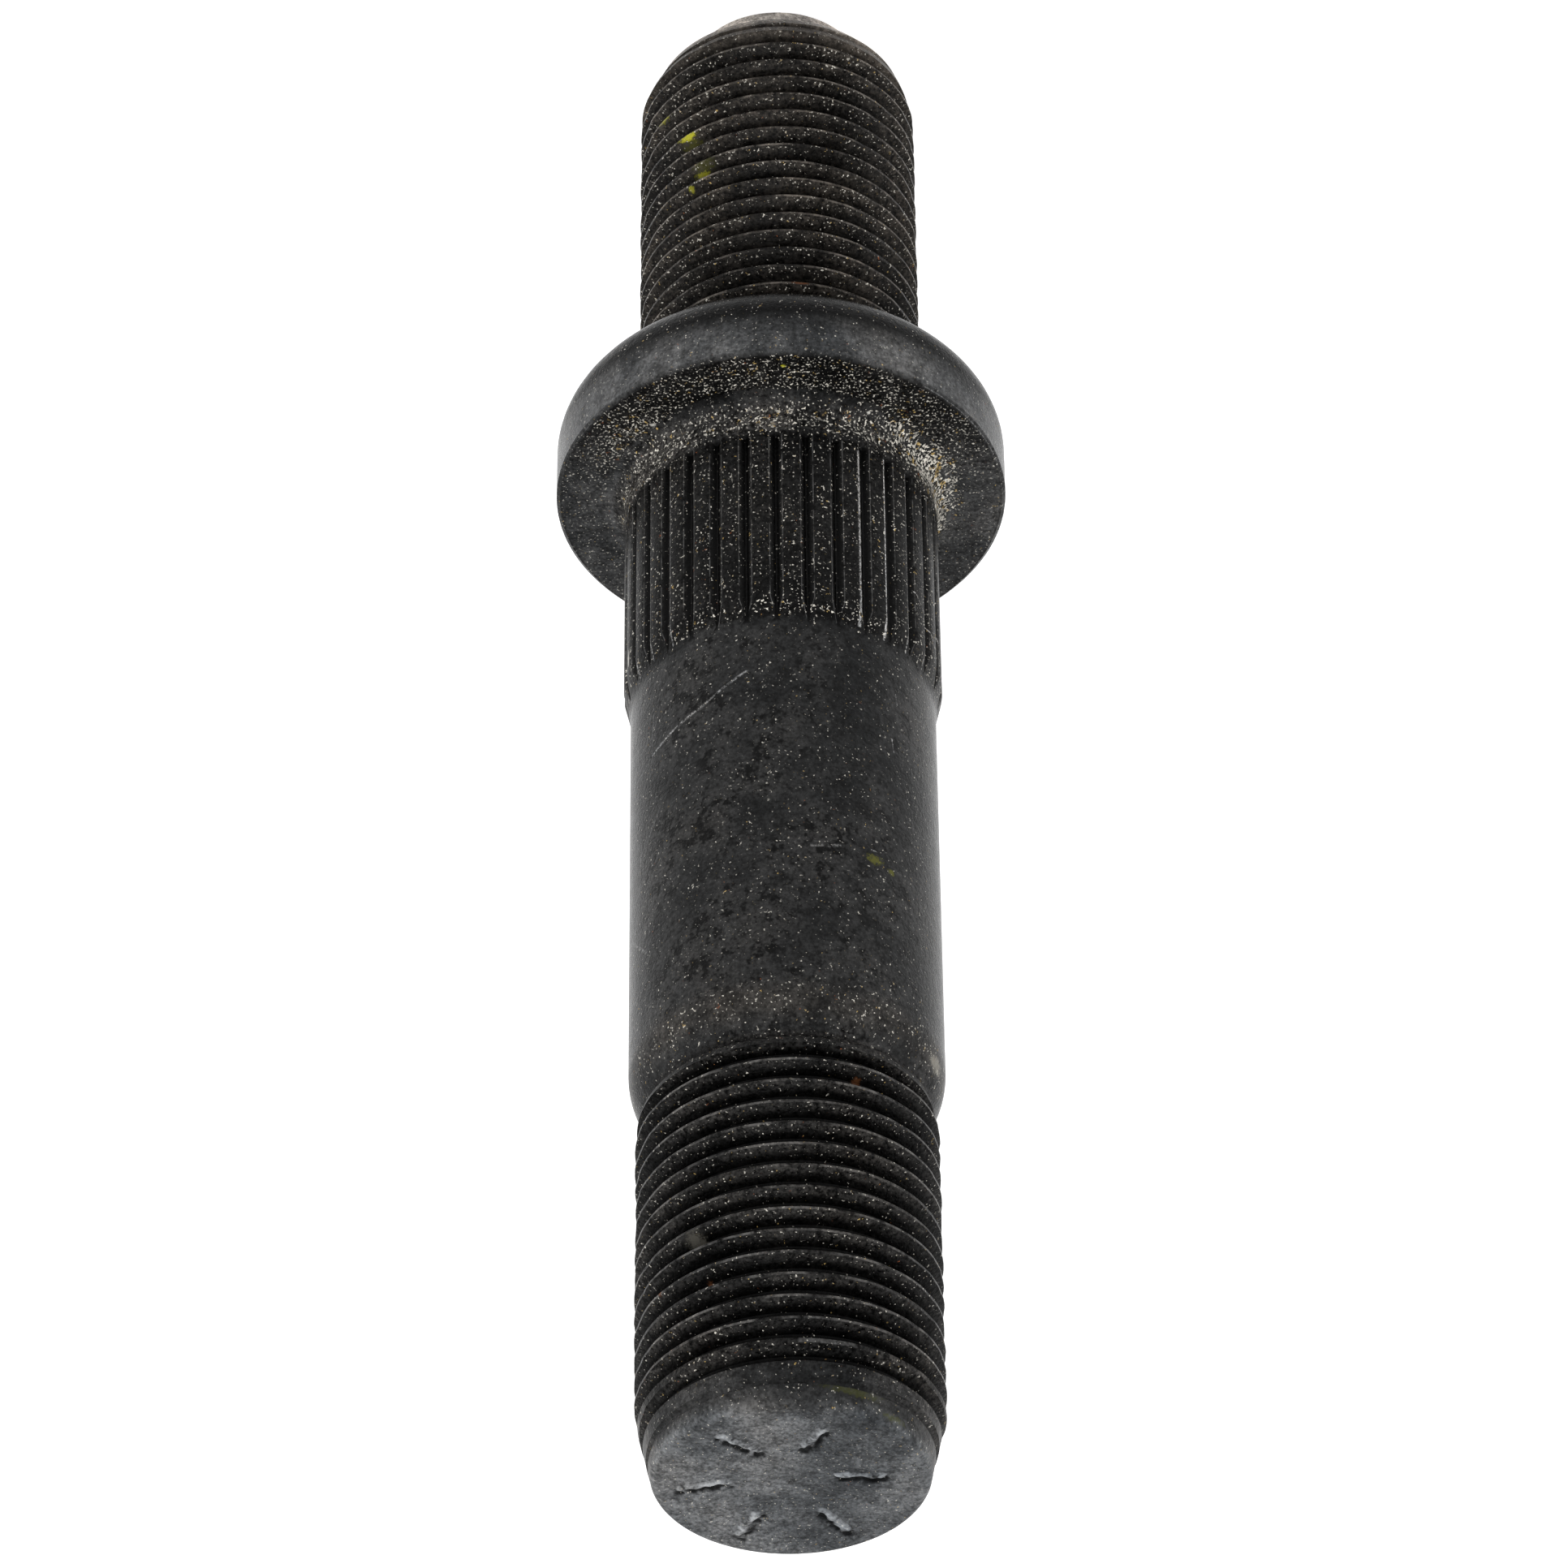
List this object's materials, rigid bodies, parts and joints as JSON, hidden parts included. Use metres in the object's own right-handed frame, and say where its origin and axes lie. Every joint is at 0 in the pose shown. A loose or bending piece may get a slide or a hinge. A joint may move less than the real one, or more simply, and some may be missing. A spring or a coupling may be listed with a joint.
{
  "type": "wheel stud",
  "caption": "Double-ended flanged wheel stud: long wheel-end thread, plain shank, serrated press fit, round flange and short drum-end thread with a pilot tip.",
  "frame": {"origin": "centre of the flange's seat plane, where the stud's axis crosses it", "axes": "+Z along the stud's axis towards the wheel end; the stud stands on its drum-end pilot tip"},
  "size_m": [0.03, 0.03, 0.1175],
  "materials": {
    "black_steel": "satin black phosphate and oil over rolled steel"
  },
  "bodies": {
    "root": {"wheel_stud": "black_steel"}
  },
  "joints": []
}
